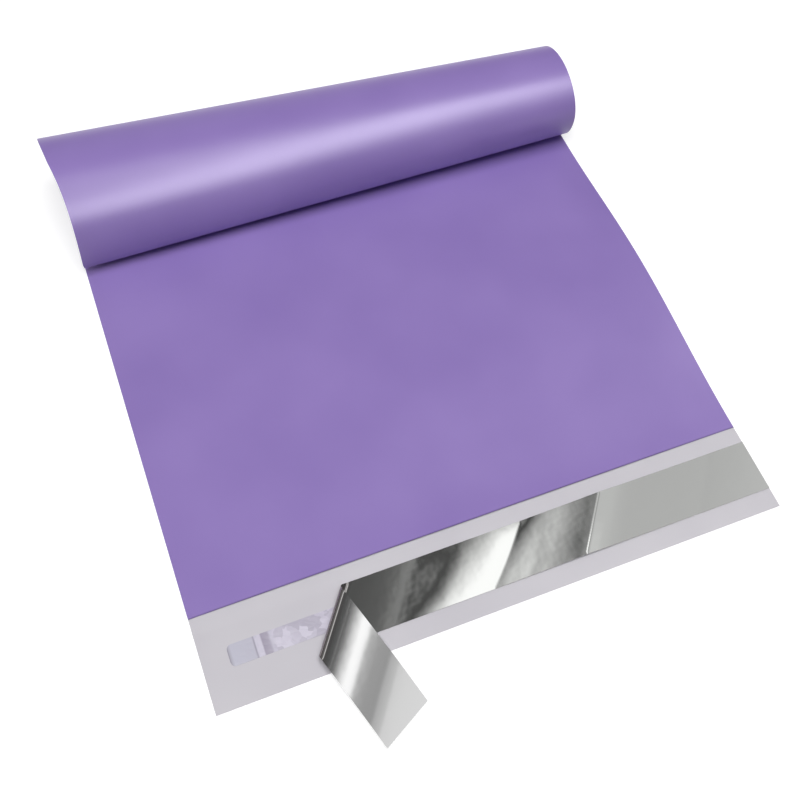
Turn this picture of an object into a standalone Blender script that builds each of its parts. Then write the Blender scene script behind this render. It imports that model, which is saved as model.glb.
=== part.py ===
"""Poly mailer bag, laid flat with its closed end rolled forward over itself.

The bag is one web of thin film: a back panel that carries on past the mouth as a lip, a front panel,
welded side seams and a folded closed end. A strip of adhesive lies along the lip, under a release liner
that is peeled back over itself at one end and hangs over the lip's edge.

Plan places are measured from the lip's left front corner: X across the bag, Y from the lip towards the
roll, Z up. Lengths are in metres. The origin empty then puts the middle of the flat panel at the origin.
"""

import bpy
import numpy as np

# The film web
BAG_WIDTH = 0.250
BODY_LENGTH = 0.350  # from the mouth to the folded closed end
LIP_DEPTH = 0.040
FILM = 0.00015  # one layer of film
POCKET_ROOM = 0.0001  # air between the front and back panels
SEAM_WIDTH = 0.004  # welded strip along each side
END_FOLD = 0.0015  # pressed film at the closed end
LIP_SHAVE = 0.00002  # the lip's cut bites this far past the pocket floor, so that no two cuts share a face
MOUTH_ROOM = 0.010  # flat film in front of the mouth and behind it, with no row of points at the mouth

# How the web lies: the right edge lifts a little, and the left edge wanders round the roll
EDGE_LIFT = 0.005
EDGE_LIFT_END = 0.225
EDGE_LIFT_FROM = 0.6  # share of the width where the lift begins
EDGE_DRIFT = 0.002

# The roll at each end: where the film leaves the table, how far back and how high it reaches,
# where its front is and how high that is, and where it comes back down
LAP_ROOM = 0.0008  # air under film that laps over film
LAP_REACH = 0.8  # share of a turn that a lap inside the roll can take
LEFT_END = {
    "lift_off": 0.2480,
    "reach": 0.0306,
    "height": 0.0460,
    "front": 0.2210,
    "front_height": 0.0019,
    "touch": 0.2222,
}
RIGHT_END = {
    "lift_off": 0.2359,
    "reach": 0.0226,
    "height": 0.0390,
    "front": 0.2133,
    "front_height": 0.0195,
    "touch": 0.2253,
}

# Adhesive strip on the lip
SEAT_GAP = 0.0002  # between pieces that lie on each other
ADHESIVE_WIDTH = 0.009
ADHESIVE_THICKNESS = 0.0001
ADHESIVE_INSET = 0.0157  # from the lip's front edge
ADHESIVE_END_GAP = 0.011  # bare lip at each end of the strip
ADHESIVE_CORNER = 0.002

# Release liner, as wide as the bag is, with its left end peeled back
LINER_WIDTH = 0.0236
LINER_THICKNESS = 0.0001
LINER_INSET = 0.0087
LINER_FOLD_LEFT = 0.0451  # where the fold crosses the liner's front edge
LINER_FOLD_SKEW = 0.0173  # how much further right the fold crosses its back edge
LINER_CURL_RADIUS = 0.0025
LINER_RISE = np.radians(0)  # slope of the tail as it leaves the curl
LINER_REST = 0.0002  # height at which the tail's far corner comes down

# Fineness of the meshes
FLAT_ROWS = 11
ROLL_ROWS = 32
TUCK_ROWS = 15
TUCK_HEADING = np.radians(260)  # past this the rows share out what is left of the web
SHORTEST_TUCK = 0.008
FILM_COLUMNS = 13
CURL_ROWS = 12
TAIL_ROWS = 14
STUCK_ROWS = 10
LINER_COLUMNS = 8
CORNER_POINTS = 6
LOOP_SAMPLES = 145
LAP_SAMPLES = 200
TAIL_SAMPLES = 600
SLOPE_HALVINGS = 40
FINE_CURL = 1.3 * np.pi  # turn of the curl, and a little of the tail, that gets the fine rows

# Colours
VIOLET_FILM = (0.29, 0.19, 0.50, 1.0)
CLEAR_LAVENDER = (0.60, 0.54, 0.72, 1.0)
SILVER_FILM = (0.62, 0.62, 0.62, 1.0)
SATIN = 0.35
TACKY = 0.2
MIRROR = 0.12

WEB_LENGTH = LIP_DEPTH + BODY_LENGTH
WEB_THICKNESS = 2 * FILM + POCKET_ROOM
LIP_TOP = FILM - LIP_SHAVE
PANEL_MIDDLE = (BAG_WIDTH / 2, RIGHT_END["front"] / 2)
EDGE_LIFT_START = LIP_DEPTH + MOUTH_ROOM
CUTTER_MARGIN = 0.005
POCKET_OVERCUT = 0.0006  # how far the pocket's cutter comes out of the mouth


def clear_scene():
    for thing in list(bpy.data.objects):
        bpy.data.objects.remove(thing, do_unlink=True)


def collection(name):
    made = bpy.data.collections.new(name)
    bpy.context.scene.collection.children.link(made)
    return made


def material(name, colour, roughness, metallic=0.0):
    made = bpy.data.materials.new(name)
    made.use_nodes = True
    shader = made.node_tree.nodes["Principled BSDF"]
    shader.inputs["Base Color"].default_value = colour
    shader.inputs["Roughness"].default_value = roughness
    shader.inputs["Metallic"].default_value = metallic
    return made


def sheet(name, points, home):
    """An open surface through a grid of points, rows by columns."""
    rows, columns = points.shape[:2]
    faces = [
        (i * columns + j, i * columns + j + 1, (i + 1) * columns + j + 1, (i + 1) * columns + j)
        for i in range(rows - 1)
        for j in range(columns - 1)
    ]
    mesh = bpy.data.meshes.new(name)
    mesh.from_pydata(points.reshape(-1, 3).tolist(), [], faces)
    made = bpy.data.objects.new(name, mesh)
    home.objects.link(made)
    made.parent = origin
    mesh.shade_smooth()
    triangles = made.modifiers.new("one diagonal", "TRIANGULATE")
    triangles.quad_method = "FIXED"
    return made


def thicken(piece, thickness):
    wall = piece.modifiers.new("thickness", "SOLIDIFY")
    wall.thickness = thickness
    wall.offset = 0.0


def cut(piece, cutter):
    boolean = piece.modifiers.new(cutter.name, "BOOLEAN")
    boolean.operation = "DIFFERENCE"
    boolean.object = cutter
    cutter.hide_render = True
    cutter.display_type = "WIRE"


def lengths_along(y, z):
    return np.concatenate([[0.0], np.cumsum(np.hypot(np.diff(y), np.diff(z)))])


def loop_point(heading, end):
    """The film's middle on one end's loop, where it runs at this heading: four quarter ellipses."""
    quarter = np.minimum((heading / (np.pi / 2)).astype(int), 3)
    low = WEB_THICKNESS + LAP_ROOM
    half_height = end["height"] / 2
    across = np.choose(
        quarter, [end["reach"], end["reach"], end["lift_off"] - end["front"], end["touch"] - end["front"]]
    )
    up = np.choose(
        quarter, [half_height, half_height, end["height"] - end["front_height"], end["front_height"] - low]
    )
    centre_y = np.choose(quarter, [end["lift_off"], end["lift_off"], end["lift_off"], end["touch"]])
    centre_z = np.choose(quarter, [half_height, half_height, end["front_height"], end["front_height"]])
    normal = heading - np.pi / 2
    support = np.hypot(across * np.cos(normal), up * np.sin(normal))
    return centre_y + across**2 * np.cos(normal) / support, centre_z + up**2 * np.sin(normal) / support


def web_section(share):
    """The web's middle line at a share of the width: (y, z), heading and length, past the closed end."""
    heading = np.radians(np.linspace(0, 360, LOOP_SAMPLES))
    left_y, left_z = loop_point(heading, LEFT_END)
    right_y, right_z = loop_point(heading, RIGHT_END)
    y = np.concatenate([[0.0], (1 - share) * left_y + share * right_y])
    z = np.concatenate([[0.0], (1 - share) * left_z + share * right_z])
    heading = np.concatenate([[0.0], heading])
    length = lengths_along(y, z)
    # What is left of the web after the loop lies inside it, along the film that it meets
    start = y[-1]
    inner = np.linspace(start, start + LAP_REACH * (length[-1] - start), LAP_SAMPLES)[1:]
    lap_heading = np.interp(inner, length, heading)
    lap = WEB_THICKNESS + LAP_ROOM
    y = np.concatenate([y, np.interp(inner, length, y) - lap * np.sin(lap_heading)])
    z = np.concatenate([z, np.interp(inner, length, z) + lap * np.cos(lap_heading)])
    heading = np.concatenate([heading, lap_heading + 2 * np.pi])
    return y, z, heading, lengths_along(y, z)


def web_lengths(shares):
    """Lengths from the lip's edge at which each column of the web has a point.

    The rows are even on the flat and follow the film's heading round the roll, so that a row runs
    along a line on which the film doesn't bend. The last rows share out what is left of the web.
    """
    columns = []
    for share in shares:
        _, _, heading, length = web_section(share)
        flat = np.linspace(LIP_DEPTH + MOUTH_ROOM, length[1], FLAT_ROWS)
        tuck_start = min(np.interp(TUCK_HEADING, heading, length), WEB_LENGTH - SHORTEST_TUCK)
        headings = np.linspace(0, np.interp(tuck_start, length, heading), ROLL_ROWS)
        rolled = np.interp(headings[1:], heading[1:], length[1:])
        tucked = np.linspace(tuck_start, WEB_LENGTH - END_FOLD, TUCK_ROWS)[1:]
        columns.append(np.concatenate([[0.0, LIP_DEPTH - MOUTH_ROOM], flat, rolled, tucked, [WEB_LENGTH]]))
    return np.array(columns).T


def web_points(lengths, shares):
    """Points of the web's middle surface, by rows of lengths and by shares of the width."""
    points = np.empty((*lengths.shape, 3))
    for column, share in enumerate(shares):
        y, z, heading, length = web_section(share)
        along = lengths[:, column]
        turned = np.interp(along, length, heading)
        on_front = (turned > np.pi / 2) & (turned < 3 * np.pi / 2)
        drift = EDGE_DRIFT * (1 - share) * np.where(on_front, np.sin(2 * turned), 0.0)
        lift_share = np.clip((along - EDGE_LIFT_START) / (EDGE_LIFT_END - EDGE_LIFT_START), 0, 1)
        aside = max(0.0, (share - EDGE_LIFT_FROM) / (1 - EDGE_LIFT_FROM))
        lift = EDGE_LIFT * np.sin(np.pi * lift_share) ** 2 * aside**2
        points[:, column, 0] = share * BAG_WIDTH + drift
        points[:, column, 1] = np.interp(along, length, y)
        points[:, column, 2] = np.interp(along, length, z) + lift + WEB_THICKNESS / 2
    return points


def make_bag(parts, cutters):
    seam = SEAM_WIDTH / BAG_WIDTH
    inner_shares = np.linspace(seam, 1 - seam, FILM_COLUMNS)
    shares = np.concatenate([[0.0], inner_shares, [1.0]])
    bag = sheet("mailer_bag", web_points(web_lengths(shares), shares), parts)
    thicken(bag, WEB_THICKNESS)

    bpy.ops.mesh.primitive_cube_add(size=1.0)
    lip_cutter = bpy.context.object
    lip_cutter.name = "lip_cutter"
    lip_cutter.parent = origin
    depth = LIP_DEPTH + CUTTER_MARGIN
    lip_cutter.scale = (BAG_WIDTH + 2 * CUTTER_MARGIN, depth, CUTTER_MARGIN)
    lip_cutter.location = (BAG_WIDTH / 2, LIP_DEPTH - depth / 2, LIP_TOP + CUTTER_MARGIN / 2)
    lip_cutter.users_collection[0].objects.unlink(lip_cutter)
    cutters.objects.link(lip_cutter)
    cut(bag, lip_cutter)

    lengths = web_lengths(inner_shares)[:-1]
    inside = lengths[lengths.min(axis=1) > LIP_DEPTH]
    mouth = np.full((1, len(inner_shares)), LIP_DEPTH - POCKET_OVERCUT)
    pocket = sheet("pocket_cutter", web_points(np.vstack([mouth, inside]), inner_shares), cutters)
    thicken(pocket, POCKET_ROOM)
    cut(bag, pocket)
    return bag


def make_adhesive(parts):
    """A flat outline with round corners, filled and extruded."""
    low = (ADHESIVE_END_GAP, ADHESIVE_INSET)
    high = (BAG_WIDTH - ADHESIVE_END_GAP, ADHESIVE_INSET + ADHESIVE_WIDTH)
    corners = ((high[0], high[1], 0), (low[0], high[1], 90), (low[0], low[1], 180), (high[0], low[1], 270))
    outline = []
    for x, y, start in corners:
        inward = (np.sign(PANEL_MIDDLE[0] - x), np.sign(low[1] + ADHESIVE_WIDTH / 2 - y))
        centre = (x + inward[0] * ADHESIVE_CORNER, y + inward[1] * ADHESIVE_CORNER)
        for angle in np.radians(start + np.linspace(0, 90, CORNER_POINTS)):
            outline.append(
                (centre[0] + ADHESIVE_CORNER * np.cos(angle), centre[1] + ADHESIVE_CORNER * np.sin(angle))
            )
    curve = bpy.data.curves.new("adhesive_strip", "CURVE")
    curve.dimensions = "2D"
    curve.fill_mode = "BOTH"
    curve.extrude = ADHESIVE_THICKNESS / 2
    spline = curve.splines.new("POLY")
    spline.points.add(len(outline) - 1)
    for point, (x, y) in zip(spline.points, outline):
        point.co = (x, y, 0.0, 1.0)
    spline.use_cyclic_u = True
    strip = bpy.data.objects.new("adhesive_strip", curve)
    strip.location.z = LIP_TOP + SEAT_GAP + ADHESIVE_THICKNESS / 2
    strip.parent = origin
    parts.objects.link(strip)
    return strip


def liner_profile(start_height, longest):
    """How far the peeled liner has come back (X) and how high it is (Z), by distance from the fold."""
    curl = LINER_CURL_RADIUS * (np.pi - LINER_RISE)
    away = np.linspace(0, longest, TAIL_SAMPLES)
    step = away[1]

    def path(end_slope):
        on_curl = np.pi - away / LINER_CURL_RADIUS
        past = np.clip((away - curl) / (longest - curl), 0, 1)
        slope = np.where(away < curl, on_curl, LINER_RISE + (end_slope - LINER_RISE) * past)
        middle = (slope[1:] + slope[:-1]) / 2
        back = np.concatenate([[0.0], np.cumsum(np.cos(middle)) * step])
        up = start_height + np.concatenate([[0.0], np.cumsum(np.sin(middle)) * step])
        return back, up

    # The tail's far end comes down to the table: halve the range of its slope until it does
    steep, shallow = -np.pi / 2, LINER_RISE
    for _ in range(SLOPE_HALVINGS):
        end_slope = (steep + shallow) / 2
        if path(end_slope)[1][-1] > LINER_REST:
            shallow = end_slope
        else:
            steep = end_slope
    return away, *path(end_slope)


def make_liner(parts):
    fold = np.array([LINER_FOLD_SKEW, LINER_WIDTH])
    fold_direction = fold / np.hypot(*fold)
    across_fold = np.array([fold_direction[1], -fold_direction[0]])
    height = LIP_TOP + 2 * SEAT_GAP + ADHESIVE_THICKNESS + LINER_THICKNESS / 2
    widths = np.linspace(0, 1, LINER_COLUMNS + 1)
    fold_x = LINER_FOLD_LEFT + LINER_CURL_RADIUS / across_fold[0] + LINER_FOLD_SKEW * widths
    longest = fold_x[-1] * across_fold[0]
    away, back, up = liner_profile(height, longest)

    curl_share = FINE_CURL * LINER_CURL_RADIUS / (fold_x[0] * across_fold[0])
    peeled = np.concatenate(
        [np.linspace(1, curl_share, TAIL_ROWS)[:-1], np.linspace(curl_share, 0, CURL_ROWS)]
    )
    points = []
    for share in peeled:
        distance = share * fold_x * across_fold[0]
        flat_x = fold_x - share * fold_x
        flat = np.stack([flat_x, LINER_INSET + LINER_WIDTH * widths], 1)
        foot = flat + distance[:, None] * across_fold
        came_back = np.interp(distance, away, back)[:, None] * across_fold
        points.append(np.column_stack([foot + came_back, np.interp(distance, away, up)]))
    for share in np.linspace(0, 1, STUCK_ROWS + 1)[1:]:
        x = fold_x + share * (BAG_WIDTH - fold_x)
        y = LINER_INSET + LINER_WIDTH * widths
        points.append(np.column_stack([x, y, np.full(len(widths), height)]))
    liner = sheet("release_liner", np.array(points), parts)
    thicken(liner, LINER_THICKNESS)
    return liner


clear_scene()
parts = collection("poly_mailer_bag")
cutters = collection("cutters")
origin = bpy.data.objects.new("bag_origin", None)
origin.location = (-PANEL_MIDDLE[0], -PANEL_MIDDLE[1], 0.0)
parts.objects.link(origin)

bag = make_bag(parts, cutters)
adhesive = make_adhesive(parts)
liner = make_liner(parts)

bag.data.materials.append(material("violet_film", VIOLET_FILM, SATIN))
adhesive.data.materials.append(material("clear_adhesive", CLEAR_LAVENDER, TACKY))
liner.data.materials.append(material("silver_film", SILVER_FILM, MIRROR, metallic=1.0))
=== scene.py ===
# %% [markdown]
# # A poly mailer bag
#
# A poly mailer is a flat bag of thin plastic film, closed by a strip of adhesive under a release
# liner. This one lies on a table with its closed end rolled forward over itself. The scene loads the
# measured model of the bag as a fixed frame, and makes each of its three pieces again with the looks
# of the real materials: the film, the adhesive and the liner.

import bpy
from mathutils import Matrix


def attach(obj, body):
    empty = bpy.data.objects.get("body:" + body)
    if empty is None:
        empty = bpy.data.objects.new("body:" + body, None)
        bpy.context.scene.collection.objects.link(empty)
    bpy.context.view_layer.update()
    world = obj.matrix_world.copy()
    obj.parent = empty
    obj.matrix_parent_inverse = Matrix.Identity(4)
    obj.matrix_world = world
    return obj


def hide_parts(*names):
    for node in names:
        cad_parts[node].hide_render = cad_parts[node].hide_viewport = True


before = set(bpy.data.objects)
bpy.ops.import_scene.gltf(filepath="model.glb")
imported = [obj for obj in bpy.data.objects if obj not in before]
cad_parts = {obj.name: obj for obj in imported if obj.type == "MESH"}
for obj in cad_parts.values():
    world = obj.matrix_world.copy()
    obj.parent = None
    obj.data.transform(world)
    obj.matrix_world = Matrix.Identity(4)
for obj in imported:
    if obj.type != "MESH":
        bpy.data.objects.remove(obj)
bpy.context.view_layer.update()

# %% [markdown]
# Blender measures in metres. The bag's sizes are repeated here from the measured model. Plan places
# are counted from the lip's left front corner: X across the bag, Y from the lip towards the roll.
# The model's origin lies under the middle of the flat panel, so `plan` moves a place there.

# %% Sizes of the bag
import math

import bpy
import numpy as np
from mathutils import Matrix, Vector, noise

BAG_WIDTH = 0.250
BODY_LENGTH = 0.350
LIP_DEPTH = 0.040
WEB_LENGTH = LIP_DEPTH + BODY_LENGTH
PANEL_MIDDLE = (0.125, 0.10665)


def plan(points):
    """Plan places, as rows of x, y and z, in the model's own frame."""
    moved = np.array(points, dtype=float)
    moved[..., 0] -= PANEL_MIDDLE[0]
    moved[..., 1] -= PANEL_MIDDLE[1]
    return moved


print("web of film:", WEB_LENGTH, "m long on the section")

# %% [markdown]
# The camera comes first, because every look is judged through it. The bag's straight edges in the
# photograph fix where the camera stood: 47 cm away, looking down at 62 degrees, turned a little
# anticlockwise. A camera looks along its own -Z, so its matrix is built from the directions that
# are right, up and backwards for it.

# %% Camera
AZIMUTH = math.radians(-23.918)
ELEVATION = math.radians(61.821)
ROLL = math.radians(3.381)
TARGET = Vector((-0.00972, -0.00249, 0.0))
DISTANCE = 0.464769
LENS = 46.714
SENSOR_WIDTH = 36.0

backwards = Vector(
    (
        math.sin(AZIMUTH) * math.cos(ELEVATION),
        -math.cos(AZIMUTH) * math.cos(ELEVATION),
        math.sin(ELEVATION),
    )
)
level_right = Vector((math.cos(AZIMUTH), math.sin(AZIMUTH), 0.0))
level_up = backwards.cross(level_right)
right = math.cos(ROLL) * level_right + math.sin(ROLL) * level_up
up = math.cos(ROLL) * level_up - math.sin(ROLL) * level_right

lens = bpy.data.cameras.new("camera")
lens.lens = LENS
lens.sensor_width = SENSOR_WIDTH
camera = bpy.data.objects.new("camera", lens)
bpy.context.scene.collection.objects.link(camera)
camera.matrix_world = Matrix.Translation(TARGET + DISTANCE * backwards) @ Matrix(
    (right, up, backwards)
).transposed().to_4x4()
bpy.context.scene.camera = camera
bpy.context.scene.view_settings.view_transform = "Standard"
print("camera at", [round(v, 4) for v in camera.matrix_world.translation])

# %% [markdown]
# Materials, the world and Geometry Nodes are all trees of nodes. One small function adds a node to
# any of them: its settings are named arguments, and its inputs are values or the sockets that feed
# them. Colours are written as sRGB hex, as a designer reads them, and Blender needs them linear. A
# colour ramp turns a number into a colour, and is filled from a list of places and colours.

# %% Helpers for nodes and colours
def add(tree, kind, inputs=None, **settings):
    """Adds a node with its settings, each input set to a value or fed by another node's output."""
    node = tree.nodes.new(kind)
    for name, value in settings.items():
        setattr(node, name, value)
    for key, value in (inputs or {}).items():
        if isinstance(value, bpy.types.NodeSocket):
            tree.links.new(value, node.inputs[key])
        else:
            node.inputs[key].default_value = value
    return node


def maths(tree, operation, *values):
    """One Math node, fed with values or sockets."""
    return add(tree, "ShaderNodeMath", dict(enumerate(values)), operation=operation).outputs[0]


def scaled(tree, vector, factor):
    """A vector or colour times a number."""
    inputs = {0: vector, "Scale": factor}
    return add(tree, "ShaderNodeVectorMath", inputs, operation="SCALE").outputs[0]


def colour(hex_code):
    """Linear red, green, blue and alpha of an sRGB hex colour."""
    parts = [int(hex_code[i : i + 2], 16) / 255 for i in (1, 3, 5)]
    return (*(p / 12.92 if p <= 0.04045 else ((p + 0.055) / 1.055) ** 2.4 for p in parts), 1.0)


WHITE = colour("#ffffff")


def ramp(tree, factor, stops):
    """A colour ramp whose stops are places from 0 to 1 and linear colours."""
    node = add(tree, "ShaderNodeValToRGB", {"Fac": factor})
    elements = node.color_ramp.elements
    while len(elements) < len(stops):
        elements.new(1.0)
    for element, (where, _) in zip(elements, stops):
        element.position = where
    for element, (_, shade) in zip(elements, stops):
        element.color = shade
    return node


print("film violet, linear:", [round(c, 3) for c in colour("#937dbd")])

# %% [markdown]
# A mirror shows what stands round it, and the liner is a mirror film. A studio for such film has
# long white softboxes with dark gaps between them. Here the world is that studio: stripes of light
# that run the way the liner's waves run, so that each small tilt of the film finds another stripe.
# The stripes follow each other along STUDIO_ACROSS, and past a point along their own length they are
# duller, as at the end of a softbox. Towards the front of the bag the whole studio dims.
#
# Only mirrors and highlights see the stripes. Everything else gets a weak white fill from all round,
# and the camera sees a plain white backdrop.

# %% World
STUDIO_ACROSS = (-0.80, 0.60, 0.0)
STUDIO_ALONG = (0.60, 0.80, 0.0)
STUDIO_STRIPES = (
    (-1.00, 0.10),
    (-0.50, 0.12),
    (-0.42, 0.60),
    (-0.36, 0.90),
    (-0.31, 0.86),
    (-0.25, 0.62),
    (-0.19, 0.55),
    (-0.145, 0.38),
    (-0.105, 0.36),
    (-0.085, 0.75),
    (-0.07, 1.25),
    (-0.02, 1.30),
    (0.0, 0.90),
    (0.014, 0.46),
    (0.028, 0.25),
    (0.036, 0.05),
    (0.05, 0.05),
    (0.057, 0.44),
    (0.065, 0.13),
    (0.10, 0.10),
    (0.28, 0.13),
    (0.38, 1.00),
    (0.46, 1.00),
    (0.54, 0.25),
    (0.90, 0.20),
)
DULL_SPAN = (0.375, 0.405)
DULL_LEVEL = 0.62
UNDULLED = 2.0
FRONT_SPAN = (-0.8, -0.1)
FRONT_DARK = 0.5
FILL_LEVEL = 0.19
FILL_FRONT = 0.6

world = bpy.data.worlds.new("striped studio")
bpy.context.scene.world = world
world.use_nodes = True
sky = world.node_tree
sky.nodes.clear()
direction = add(sky, "ShaderNodeTexCoord").outputs["Generated"]


def spread(tree, value, span, low=0.0, high=1.0, **settings):
    """Maps a value's span to a range, and holds it there beyond both ends."""
    inputs = {"Value": value, "From Min": span[0], "From Max": span[1], "To Min": low, "To Max": high}
    return add(tree, "ShaderNodeMapRange", inputs, **settings).outputs["Result"]


def share_along(way):
    """How far the view direction points a given way, from -1 to 1."""
    inputs = {0: direction, 1: way}
    return add(sky, "ShaderNodeVectorMath", inputs, operation="DOT_PRODUCT").outputs["Value"]


stripes = ramp(
    sky,
    spread(sky, share_along(STUDIO_ACROSS), (-1.0, 1.0)),
    [((where + 1) / 2, (level, level, level, 1.0)) for where, level in STUDIO_STRIPES],
)
stripes.color_ramp.interpolation = "EASE"
most = spread(sky, share_along(STUDIO_ALONG), DULL_SPAN, UNDULLED, DULL_LEVEL)
dulled = add(sky, "ShaderNodeVectorMath", {0: stripes.outputs["Color"], 1: most}, operation="MINIMUM")
ahead = add(sky, "ShaderNodeSeparateXYZ", {0: direction}).outputs["Y"]

seen_by = add(sky, "ShaderNodeLightPath")
studio = add(
    sky,
    "ShaderNodeBackground",
    {"Color": dulled.outputs[0], "Strength": spread(sky, ahead, FRONT_SPAN, FRONT_DARK)},
)
dim = maths(sky, "MULTIPLY", spread(sky, ahead, FRONT_SPAN, FILL_FRONT), FILL_LEVEL)
fill = add(sky, "ShaderNodeBackground", {"Color": WHITE, "Strength": dim})
light = add(
    sky,
    "ShaderNodeMixShader",
    {0: seen_by.outputs["Is Glossy Ray"], 1: fill.outputs[0], 2: studio.outputs[0]},
)
backdrop = add(sky, "ShaderNodeBackground", {"Color": WHITE, "Strength": 1.0})
shown = add(
    sky,
    "ShaderNodeMixShader",
    {0: seen_by.outputs["Is Camera Ray"], 1: light.outputs[0], 2: backdrop.outputs[0]},
)
add(sky, "ShaderNodeOutputWorld", {"Surface": shown.outputs[0]})
print("studio stripes:", len(STUDIO_STRIPES))

# %% [markdown]
# The roll stands in a short dark shadow at its foot, so nearly all the light comes from one large
# softbox that hangs almost straight above. The highlight that slants along the roll is the mirror
# image of a long strip light. The two are kept apart: mirrors don't see the softbox, and the strip
# light only draws highlights, in the end on the film alone. An area lamp shines along its own -Z.

# %% Lamps
ROLL_MIDDLE = Vector((0.0, 0.12, 0.02))


def softbox(name, place, along, size, power):
    """A rectangular lamp that faces the roll, its first side turned towards a direction."""
    lamp = bpy.data.lights.new(name, "AREA")
    lamp.shape = "RECTANGLE"
    lamp.size, lamp.size_y = size
    lamp.energy = power
    made = bpy.data.objects.new(name, lamp)
    bpy.context.scene.collection.objects.link(made)
    outward = (Vector(place) - ROLL_MIDDLE).normalized()
    side = (Vector(along) - Vector(along).dot(outward) * outward).normalized()
    axes = Matrix((side, outward.cross(side), outward)).transposed()
    made.matrix_world = Matrix.Translation(place) @ axes.to_4x4()
    return made


overhead = softbox("overhead_softbox", (-0.05, -0.15, 1.5), (1, 0, 0), (1.0, 0.9), 20.0)
overhead.visible_glossy = False
strip_light = softbox("strip_light", (0.21, -0.78, 1.1), (0.40, 0.92, 0.0), (2.0, 0.42), 36.5)
strip_light.visible_diffuse = False
print("lamps:", overhead.name, strip_light.name)

# %% [markdown]
# The ground is a plain white floor. Its diffuse part takes the bag's shadow, and a little light of
# its own, seen only by the camera and by mirrors, brings it to the photograph's white.

# %% Floor
FLOOR_SIZE = 12.0
FLOOR_GLOW = 0.55

floor_paper = bpy.data.materials.new("white_background_paper")
floor_paper.use_nodes = True
floor_tree = floor_paper.node_tree
floor_tree.nodes.clear()
matt = add(floor_tree, "ShaderNodeBsdfDiffuse", {"Color": colour("#cfcfcf")})
path = add(floor_tree, "ShaderNodeLightPath")
seen = maths(floor_tree, "MAXIMUM", path.outputs["Is Camera Ray"], path.outputs["Is Glossy Ray"])
strength = maths(floor_tree, "MULTIPLY", seen, FLOOR_GLOW)
glow = add(floor_tree, "ShaderNodeEmission", {"Color": WHITE, "Strength": strength})
both = add(floor_tree, "ShaderNodeAddShader", {0: matt.outputs[0], 1: glow.outputs[0]})
add(floor_tree, "ShaderNodeOutputMaterial", {"Surface": both.outputs[0]})

floor_mesh = bpy.data.meshes.new("floor")
half = FLOOR_SIZE / 2
floor_mesh.from_pydata(
    [(-half, -half, 0), (half, -half, 0), (half, half, 0), (-half, half, 0)], [], [(0, 1, 2, 3)]
)
floor_mesh.materials.append(floor_paper)
floor = bpy.data.objects.new("floor", floor_mesh)
bpy.context.scene.collection.objects.link(floor)
print("floor", FLOOR_SIZE, "m square")

# %% [markdown]
# The outside of the film is violet polyethylene, blown and then left as it came off the roller. To
# the eye that is a satin surface: its colour hardly changes, its highlight is broad, and very fine
# streaks lie along the web. It is a plain dielectric, so its IOR is polyethylene's 1.51. The inside
# is a pale layer of the same film. Along the mouth the violet is painted darker in a thin line:
# painted shade where the front panel's edge stands off the lip.

# %% Violet film
FILM_IOR = 1.51
STREAK_MM = 2.5
STREAK_STRETCH = 0.08
MOTTLE_MM = 45.0
EDGE_Y = LIP_DEPTH - PANEL_MIDDLE[1]
# Painted shade: a line this deep along the mouth is darkened to this share of the violet.
MOUTH_SHADE_DEPTH = 0.0007
MOUTH_SHADE_TONE = 0.45


def new_material(name):
    """A material with an empty tree, a Principled shader and its output."""
    made = bpy.data.materials.new(name)
    made.use_nodes = True
    made.node_tree.nodes.clear()
    shader = add(made.node_tree, "ShaderNodeBsdfPrincipled")
    add(made.node_tree, "ShaderNodeOutputMaterial", {"Surface": shader.outputs[0]})
    return made, made.node_tree, shader


def film_finish(name, low, high, roughness, relief_mm, painted_mouth_shade=False):
    """Film whose colour drifts between two close tones, with fine streaks along the web, and painted
    shade along the mouth if asked.
    """
    made, tree, shader = new_material(name)
    shader.inputs["IOR"].default_value = FILM_IOR
    shader.inputs["Roughness"].default_value = roughness
    where = add(tree, "ShaderNodeTexCoord").outputs["Object"]
    mottle = add(
        tree,
        "ShaderNodeTexNoise",
        {"Vector": where, "Scale": 1000 / MOTTLE_MM, "Detail": 2.0, "Roughness": 0.4},
    )
    stops = [(0.3, colour(low)), (0.7, colour(high))]
    tone = ramp(tree, mottle.outputs["Fac"], stops).outputs["Color"]
    # Painted shade: a thin darker line along the mouth, where the front panel's edge stands off the
    # lip.
    if painted_mouth_shade:
        depth = add(tree, "ShaderNodeSeparateXYZ", {0: where}).outputs["Y"]
        tone = scaled(tree, tone, spread(tree, depth, (EDGE_Y, EDGE_Y + MOUTH_SHADE_DEPTH), MOUTH_SHADE_TONE))
    tree.links.new(tone, shader.inputs["Base Color"])
    squeeze = (1.0, STREAK_STRETCH, STREAK_STRETCH)
    stretch = add(tree, "ShaderNodeMapping", {"Vector": where, "Scale": squeeze})
    streaks = add(
        tree,
        "ShaderNodeTexNoise",
        {"Vector": stretch.outputs[0], "Scale": 1000 / STREAK_MM, "Detail": 3.0},
    )
    relief = add(
        tree,
        "ShaderNodeBump",
        {"Height": streaks.outputs["Fac"], "Distance": relief_mm / 1000, "Strength": 0.5},
    )
    tree.links.new(relief.outputs[0], shader.inputs["Normal"])
    return made


violet_film = film_finish("blown_polyethylene_violet", "#8b74b8", "#937cbf", 0.37, 0.03, True)
pale_film = film_finish("blown_polyethylene_pale_inside", "#c6c3ca", "#cdcad0", 0.40, 0.03)
print("film materials:", violet_film.name, pale_film.name)

# %% [markdown]
# Film bends one way at a time. Lay a ruler across the bag, from one side edge to the other, and it
# touches the film all along: the surface is ruled. So the bag's shape is known once its two side
# edges are. Each edge is a section of the web: along the table, up round the back of the roll,
# over its top, down its front, and in under it. Round the roll the section is four quarter
# ellipses, and the left end is taller and fuller than the right. Points of the two edges that are
# joined by a ruling have the same heading, so the edges are sampled by heading. What is left of the
# web after the loop lies on the inside of the film that it meets, LAP_ROOM away.

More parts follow.
